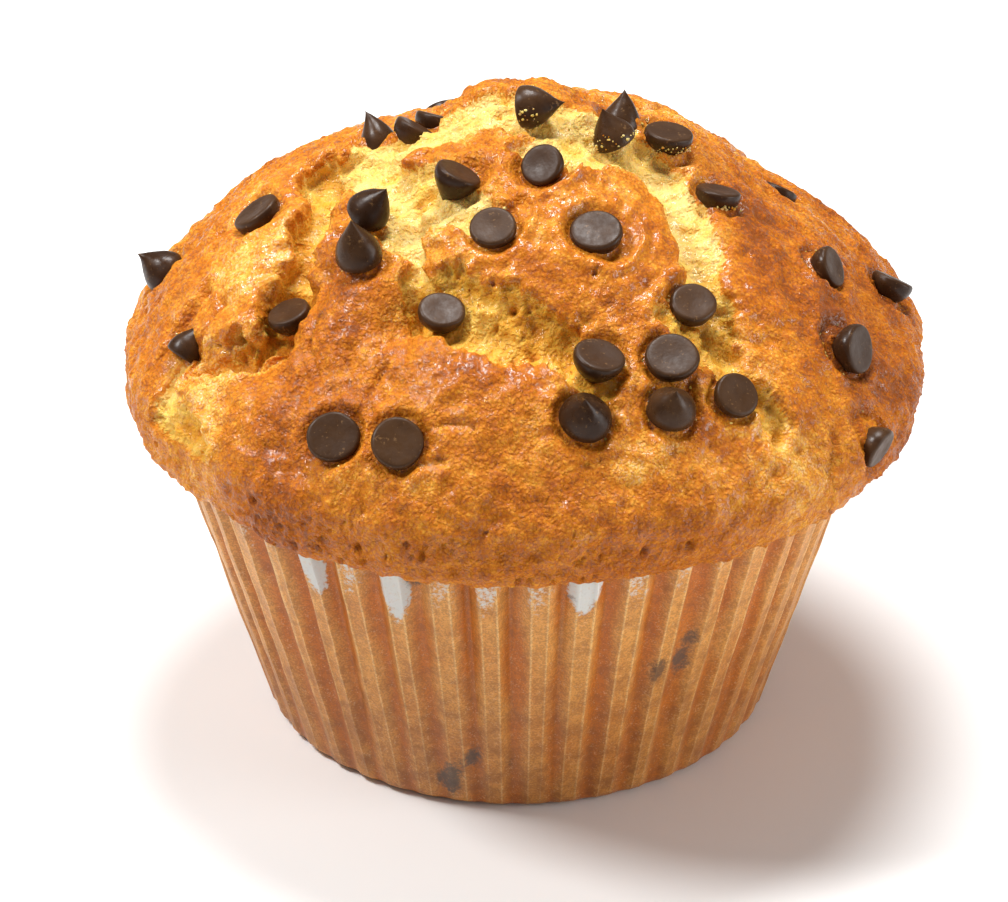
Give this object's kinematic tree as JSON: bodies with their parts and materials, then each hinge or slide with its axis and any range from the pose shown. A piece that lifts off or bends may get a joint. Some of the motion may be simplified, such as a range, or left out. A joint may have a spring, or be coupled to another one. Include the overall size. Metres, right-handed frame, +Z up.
{
  "type": "muffin",
  "caption": "Large domed muffin with a torn golden crust, studded with chocolate chips, in a pleated brown paper case.",
  "frame": {"origin": "centre of the flat base of the paper case, on the surface that the muffin stands on", "axes": "+Z up through the middle of the case; the front is towards -Y, +X is to the right seen from the front"},
  "size_m": [0.0887, 0.087, 0.076],
  "materials": {
    "crust": "baked golden-brown crumb with a thin glossy crust",
    "paper": "oily translucent baking paper",
    "chocolate": "satin dark chocolate"
  },
  "bodies": {
    "root": {"cake": "crust", "paper_case": "paper", "chip_01": "chocolate", "chip_02": "chocolate", "chip_03": "chocolate", "chip_04": "chocolate", "chip_05": "chocolate", "chip_06": "chocolate", "chip_07": "chocolate", "chip_08": "chocolate", "chip_09": "chocolate", "chip_10": "chocolate", "chip_11": "chocolate", "chip_12": "chocolate", "chip_13": "chocolate", "chip_14": "chocolate", "chip_15": "chocolate", "chip_16": "chocolate", "chip_17": "chocolate", "chip_18": "chocolate", "chip_19": "chocolate", "chip_20": "chocolate", "chip_21": "chocolate", "chip_22": "chocolate", "chip_23": "chocolate", "chip_24": "chocolate", "chip_25": "chocolate", "chip_26": "chocolate", "chip_27": "chocolate", "chip_28": "chocolate", "chip_29": "chocolate", "chip_30": "chocolate", "chip_31": "chocolate", "chip_32": "chocolate", "chip_33": "chocolate", "chip_34": "chocolate", "chip_35": "chocolate", "chip_36": "chocolate", "chip_37": "chocolate", "chip_38": "chocolate", "chip_39": "chocolate", "chip_40": "chocolate", "chip_41": "chocolate", "chip_42": "chocolate"}
  },
  "joints": []
}
